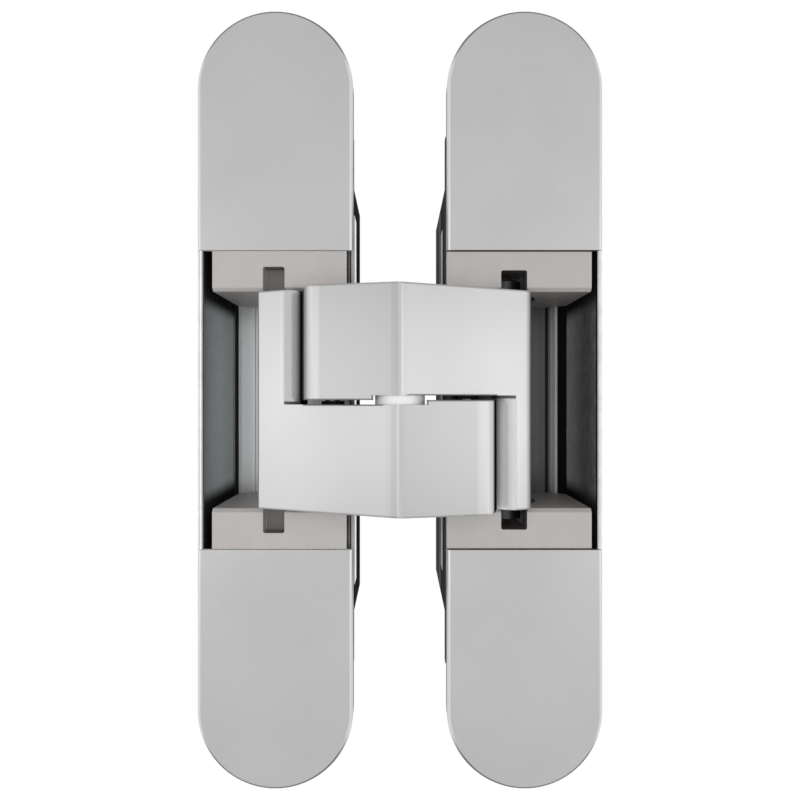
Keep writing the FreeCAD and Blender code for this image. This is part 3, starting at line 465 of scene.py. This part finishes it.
# the bands are painted highlights and painted shadow lines; each has its start and end across the hinge, its
# shade and its share of metal
drawnSteel("frame_plate", {
    "colour": (0.93, 0.955, 0.97, 1), "streakColour": (0.96, 0.98, 1.0, 1), "streakScale": 900.0,
    "streakStretch": (1, 1, 0.02), "spotColour": grey(0.86), "spotScale": 500.0, "spotRamp": (0.55, 0.8),
    "spotShare": 0.4, "roughness": 0.3, "roughnessPlay": 0.1, "bump": 0.08, "relief": 0.00003,
    "metallic": 0.5, "specular": 0.2,
    "bands": {
        "chamferHighlight": (-0.0135, -0.01236, 1.0, 0.0), "chamferShadowLine": (-0.01236, -0.01215, 0.72, 0.0),
        "groove": (-0.0097, -0.0091, 1.0, 0.6), "grooveLine": (-0.0091, -0.0088, 0.65, 0.0),
    },
})
drawnSteel("door_plate", {
    "colour": grey(0.1), "streakColour": grey(0.13), "streakScale": 900.0,
    "streakStretch": (1, 1, 0.02), "spotColour": grey(0.08), "spotScale": 500.0, "spotRamp": (0.55, 0.8),
    "spotShare": 0.4, "roughness": 0.3, "roughnessPlay": 0.1, "bump": 0.08, "relief": 0.00003,
    "metallic": 0.6, "specular": 0.2,
    "bands": {
        "chamferHighlight": (0.0594, 0.0607, 1.0, 0.0), "groove": (0.05714, 0.0578, 0.005, 0.0),
        # painted light on the strips beside the chamfer
        "near": (0.0578, 0.0583, 0.15, 0.6), "strip": (0.0583, 0.0594, 0.38, 0.6),
    },
})


def turnedSteel(name, user):
    # ground pins and screws: fine rings round the axis
    board, place = newFinish(name)
    rings = board.noise(place, user["ringScale"], detail=2.0, stretch=user["ringStretch"])
    colour = board.mixColours(rings.ramp(*user["ringRamp"]), user["colour"], user["ringColour"])
    surface(board, colour, user["metallic"], uneven(rings, user), rings, user)


turnedSteel("ground_pin", {
    "colour": grey(0.5), "ringColour": grey(0.58), "ringScale": 700.0, "ringStretch": (0.05, 0.05, 1),
    "ringRamp": (0.35, 0.65), "roughness": 0.25, "roughnessPlay": 0.1, "bump": 0.05, "relief": 0.00002,
    "metallic": 0.9, "specular": 0.5,
})
turnedSteel("zinc_screw", {
    "colour": (0.42, 0.43, 0.46, 1), "ringColour": (0.5, 0.5, 0.52, 1), "ringScale": 900.0,
    "ringStretch": (1, 0.1, 1), "ringRamp": (0.35, 0.65), "roughness": 0.35, "roughnessPlay": 0.15,
    "bump": 0.08, "relief": 0.00002, "metallic": 0.8, "specular": 0.5,
})


def polymer(name, user):
    # moulded bearing plastic, faintly grainy
    board, place = newFinish(name)
    grain = board.noise(place, user["grainScale"])
    colour = board.mixColours(grain.ramp(*mottleRamp), user["colour"], user["grainColour"])
    if "litFlankX" in user:  # painted highlight on one flank of the bush in the open mouth, painted shade on the other
        x = board.xyz(place)[0]
        colour = layered(board, colour, user, {
            "litFlankColour": x > user["litFlankX"], "shadedFlankColour": x.ramp(*user["shadedFlankRamp"])})
    surface(board, colour, user["metallic"], uneven(grain, user), grain, user)


polymer("white_washer", {
    "colour": grey(0.93), "grainColour": grey(0.9), "grainScale": 1800.0, "roughness": 0.4,
    "roughnessPlay": 0.1, "bump": 0.08, "relief": 0.00003, "metallic": 0.0, "specular": 0.5,
})
polymer("dark_bush", {
    "colour": grey(0.07), "grainColour": grey(0.1), "grainScale": 1800.0, "roughness": 0.45,
    "roughnessPlay": 0.1, "bump": 0.08, "relief": 0.00003, "metallic": 0.0, "specular": 0.1,
    # painted highlight on one flank and painted shade on the other
    "litFlankColour": grey(0.22), "litFlankX": 0.0438, "shadedFlankColour": grey(0.01), "shadedFlankRamp": (0.0448, 0.0464),
})
print("finishes made:", len(finishes))


# Small tools for pieces

def standIn(obj, node):  # obj takes the place of one CAD node
    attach(obj, bodyOf[node])
    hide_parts(node)


def paint(mesh, material):
    mesh.materials.clear()
    mesh.materials.append(material)


def plainMesh(obj, name):  # the evaluated object as a mesh of its own
    bpy.context.view_layer.update()
    evaluated = obj.evaluated_get(bpy.context.evaluated_depsgraph_get())
    mesh = bpy.data.meshes.new_from_object(evaluated)
    mesh.name = name
    return newObject(name, mesh)


# Covers: one tree bends a grid round the half stadium of the cap and over its rounded rim

coverUser = {
    "archSteps": 48, "roundSteps": 6, "round": 0.0008, "thick": 0.0013, "weld": 0.000004,
    "lugWidth": 0.003, "lugHeight": 0.0024, "lugTop": 0.0706, "lugFoot": 0.056, "smoothAngle": 35,
}


def coverTree(user):
    tree = bpy.data.node_groups.new("cover_cap", "GeometryNodeTree")
    for name in ("Radius", "Centre", "Foot", "Back", "Front", "Round",
                 "Lug Width", "Lug Height", "Lug Back", "Lug Top", "Lug Foot"):
        tree.interface.new_socket(name, in_out="INPUT", socket_type="NodeSocketFloat")
    tree.interface.new_socket("Finish", in_out="INPUT", socket_type="NodeSocketMaterial")
    tree.interface.new_socket("Geometry", in_out="OUTPUT", socket_type="NodeSocketGeometry")
    board = Board(tree)
    (radius, centre, foot, back, front, rounding,
     lugWidth, lugHeight, lugBack, lugTop, lugFoot, finish) = board.add("NodeGroupInput")[:12]
    around = user["archSteps"] + 4   # arch points, both foot corners, and the first one again
    across = user["roundSteps"] + 4  # spine, back rim, rounding, spine again
    grid = board.add("GeometryNodeMeshGrid", None, {"Vertices X": around, "Vertices Y": across})[0]
    index = board.add("GeometryNodeInputIndex")[0]
    column = (index / across).math("FLOOR")
    row = index - column * across
    # the outline: column 0 and the last are one foot corner, the last but one is the other
    step = (column - 1).math("MAXIMUM", 0).math("MINIMUM", user["archSteps"])
    closing = column > around - 1.5
    angle = step * (math.pi / user["archSteps"]) * (1 - closing)
    atFoot = (column < 0.5) | (column > around - 2.5)
    # the section: a quarter circle over the rim, shut by the spine at both ends
    turn = ((row - 2) / user["roundSteps"]).math("MAXIMUM", 0).math("MINIMUM", 1) * (math.pi / 2)
    inset = rounding * (1 - turn.math("COSINE"))
    onSpine = (row < 0.5) | (row > across - 1.5)
    onBack = row < 1.5
    reach = (radius - inset) * (1 - onSpine)
    x = reach * angle.math("COSINE")
    z = (centre + reach * angle.math("SINE")) * (1 - atFoot) + foot * atFoot
    y = (front + rounding * (1 - turn.math("SINE"))) * (1 - onBack) + back * onBack
    place = board.add("ShaderNodeCombineXYZ", None, [x, y, z])[0]
    shaped = board.add("GeometryNodeSetPosition", None, {"Geometry": grid, "Position": place})[0]
    weld = {"Geometry": shaped, "Distance": user["weld"]}
    closed = board.add("GeometryNodeMergeByDistance", None, weld)[0]
    # the lugs behind it, a block at each end of a short line
    top = board.add("ShaderNodeCombineXYZ", None, [0.0, 0.0, lugTop])[0]
    bottom = board.add("ShaderNodeCombineXYZ", None, [0.0, 0.0, lugFoot])[0]
    ends = {"Count": 2, "Start Location": top, "Offset": bottom}
    line = board.add("GeometryNodeMeshLine", {"mode": "END_POINTS"}, ends)[0]
    lugSize = board.add("ShaderNodeCombineXYZ", None, [lugWidth, lugBack - back, lugHeight])[0]
    lug = board.add("GeometryNodeMeshCube", None, {"Size": lugSize})[0]
    lugPlace = board.add("ShaderNodeCombineXYZ", None, [0.0, (lugBack + back) / 2, 0.0])[0]
    seated = board.add("GeometryNodeSetPosition", None, {"Geometry": line, "Offset": lugPlace})[0]
    lugs = board.add("GeometryNodeInstanceOnPoints", None, {"Points": seated, "Instance": lug})[0]
    joined = board.add("GeometryNodeJoinGeometry", None, {"Geometry": [closed, lugs]})[0]
    real = board.add("GeometryNodeRealizeInstances", None, {"Geometry": joined})[0]
    painted = board.add("GeometryNodeSetMaterial", None, {"Geometry": real, "Material": finish})[0]
    board.add("NodeGroupOutput", None, [painted])
    return tree


def setInputs(modifier, values):
    for item in modifier.node_group.interface.items_tree:
        if item.item_type == "SOCKET" and item.in_out == "INPUT":
            modifier[item.identifier] = values[item.name]


capTree = coverTree(coverUser)
for node in sorted(name for name in nodes if name.endswith("_cover")):
    low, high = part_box(node)
    upper = "upper" in node
    half = (high.x - low.x) / 2
    middle = (high.x + low.x) / 2
    tip = high.z if upper else -low.z
    draft = newObject(node + "_draft", bpy.data.meshes.new(node + "_draft"))
    modifier = draft.modifiers.new("cap", "NODES")
    modifier.node_group = capTree
    setInputs(modifier, {
        "Radius": half, "Centre": tip - half, "Foot": low.z if upper else -high.z,
        "Back": low.y + coverUser["thick"], "Front": low.y, "Round": coverUser["round"],
        "Lug Width": coverUser["lugWidth"], "Lug Height": coverUser["lugHeight"], "Lug Back": high.y,
        "Lug Top": coverUser["lugTop"], "Lug Foot": coverUser["lugFoot"],
        "Finish": finishes["satin_cover"],
    })
    piece = plainMesh(draft, node + "_cap")
    bpy.data.objects.remove(draft)
    if not upper:
        piece.data.transform(Matrix.Rotation(math.pi, 4, "Y"))
    piece.data.transform(Matrix.Translation((middle, 0, 0)))
    work = bmesh.new()
    work.from_mesh(piece.data)
    bmesh.ops.recalc_face_normals(work, faces=work.faces)
    work.to_mesh(piece.data)
    work.free()
    piece.data.shade_smooth()
    piece.data.set_sharp_from_angle(angle=math.radians(coverUser["smoothAngle"]))
    standIn(piece, node)
print("covers made")


# Castings: arms, bearing blocks and housings

castingUser = {
    "arm": {"width": 0.0003, "segments": 3, "sharpAngle": 32},
    "block": {"width": 0.00022, "segments": 2, "sharpAngle": 40},
    "housing": {"width": 0.00015, "segments": 2, "sharpAngle": 40},
    "all": {"weld": 0.000002, "flatAngle": 0.5, "smoothAngle": 35},
}


def softened(node, user, shared):
    # the casting's own form with its sharp edges broken, as a tumbled casting has them
    mesh = nodes[node].data.copy()
    work = bmesh.new()
    work.from_mesh(mesh)
    bmesh.ops.remove_doubles(work, verts=work.verts, dist=shared["weld"])
    bmesh.ops.dissolve_limit(work, angle_limit=math.radians(shared["flatAngle"]),
                             verts=work.verts, edges=work.edges)
    work.to_mesh(mesh)
    work.free()
    draft = newObject(node + "_draft", mesh)
    bevel = draft.modifiers.new("edges", "BEVEL")
    bevel.width = user["width"]
    bevel.segments = user["segments"]
    bevel.limit_method = "ANGLE"
    bevel.angle_limit = math.radians(user["sharpAngle"])
    bevel.use_clamp_overlap = True
    mesh.shade_smooth()
    mesh.set_sharp_from_angle(angle=math.radians(shared["smoothAngle"]))
    level = draft.modifiers.new("flat_faces", "WEIGHTED_NORMAL")
    level.weight = 100
    level.keep_sharp = True
    piece = plainMesh(draft, node + "_finished")
    bpy.data.objects.remove(draft)
    paint(piece.data, finishes[slotOf[node]])
    standIn(piece, node)


for node in sorted(nodes):
    kind = node.rsplit("_", 1)[-1]
    if kind in castingUser:
        softened(node, castingUser[kind], castingUser["all"])
print("castings finished")

for node, obj in nodes.items():
    if not obj.hide_render:
        paint(obj.data, finishes[slotOf[node]])
print("turned and drawn pieces painted")


# Studio: white floor and world, soft lamps on both sides and a faint one beside the camera

studioUser = {
    "floorZ": -0.13, "floorSize": 12.0, "floorGrey": 0.8, "ambient": 0.5,
    "lamps": {
        "left_panel": {"at": (-0.45, -0.45, 0.0), "size": (0.5, 0.24), "watts": 0.6, "inGloss": True},
        "right_panel": {"at": (0.50, -0.45, 0.0), "size": (0.5, 0.24), "watts": 0.65, "inGloss": True},
        "near_panel": {"at": (0.024, -0.17, 0.0), "size": (0.1, 0.1), "watts": 0.09, "inGloss": False},
    },
}
cameraUser = {"distance": 0.15, "lens": 35.1, "sensor": 36.0, "nearest": 0.005}
aim = Vector((middleX, 0.0, 0.0))


def seenByEye(board):  # what the camera, metal or glass sees
    path = board.add("ShaderNodeLightPath")
    fromCamera, offGloss, throughGlass = path[0], path[3], path[6]
    return fromCamera | offGloss | throughGlass


floorMesh = bpy.data.meshes.new("studio_floor")
work = bmesh.new()
bmesh.ops.create_grid(work, x_segments=1, y_segments=1, size=studioUser["floorSize"] / 2)
work.to_mesh(floorMesh)
work.free()
floor = newObject("studio_floor", floorMesh)
floor.location.z = studioUser["floorZ"]
floorFinish = bpy.data.materials.new("studio_white")
board = emptyBoard(floorFinish)
matt = board.add("ShaderNodeBsdfDiffuse", None, {"Color": grey(studioUser["floorGrey"])})[0]
plain = board.add("ShaderNodeEmission", None, {"Color": grey(1.0), "Strength": 1.0})[0]
mixed = board.add("ShaderNodeMixShader", None, [seenByEye(board), matt, plain])[0]
board.add("ShaderNodeOutputMaterial", None, {"Surface": mixed})
paint(floorMesh, floorFinish)

world = bpy.data.worlds.new("studio_world")
board = emptyBoard(world)
seen = seenByEye(board)
strength = seen + (1 - seen) * studioUser["ambient"]
sky = board.add("ShaderNodeBackground", None, {"Color": grey(1.0), "Strength": strength})[0]
board.add("ShaderNodeOutputWorld", None, {"Surface": sky})
bpy.context.scene.world = world

for name, user in studioUser["lamps"].items():
    light = bpy.data.lights.new(name, "AREA")
    light.shape = "RECTANGLE"
    light.size, light.size_y = user["size"]
    light.energy = user["watts"]
    lamp = newObject(name, light)
    lamp.location = user["at"]
    lamp.visible_glossy = user["inGloss"]
    lamp.rotation_euler = (aim - lamp.location).to_track_quat("-Z", "Y").to_euler()

facePlane = min(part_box(node)[0].y for node in nodes if node.endswith("_cover"))
cameraData = bpy.data.cameras.new("photo_camera")
cameraData.lens = cameraUser["lens"]
cameraData.sensor_width = cameraUser["sensor"]
cameraData.clip_start = cameraUser["nearest"]
camera = newObject("photo_camera", cameraData)
camera.location = (aim.x, facePlane - cameraUser["distance"], 0)
camera.rotation_euler = (math.pi / 2, 0, 0)
bpy.context.scene.camera = camera
bpy.context.scene.view_settings.view_transform = "Standard"
print("studio ready")
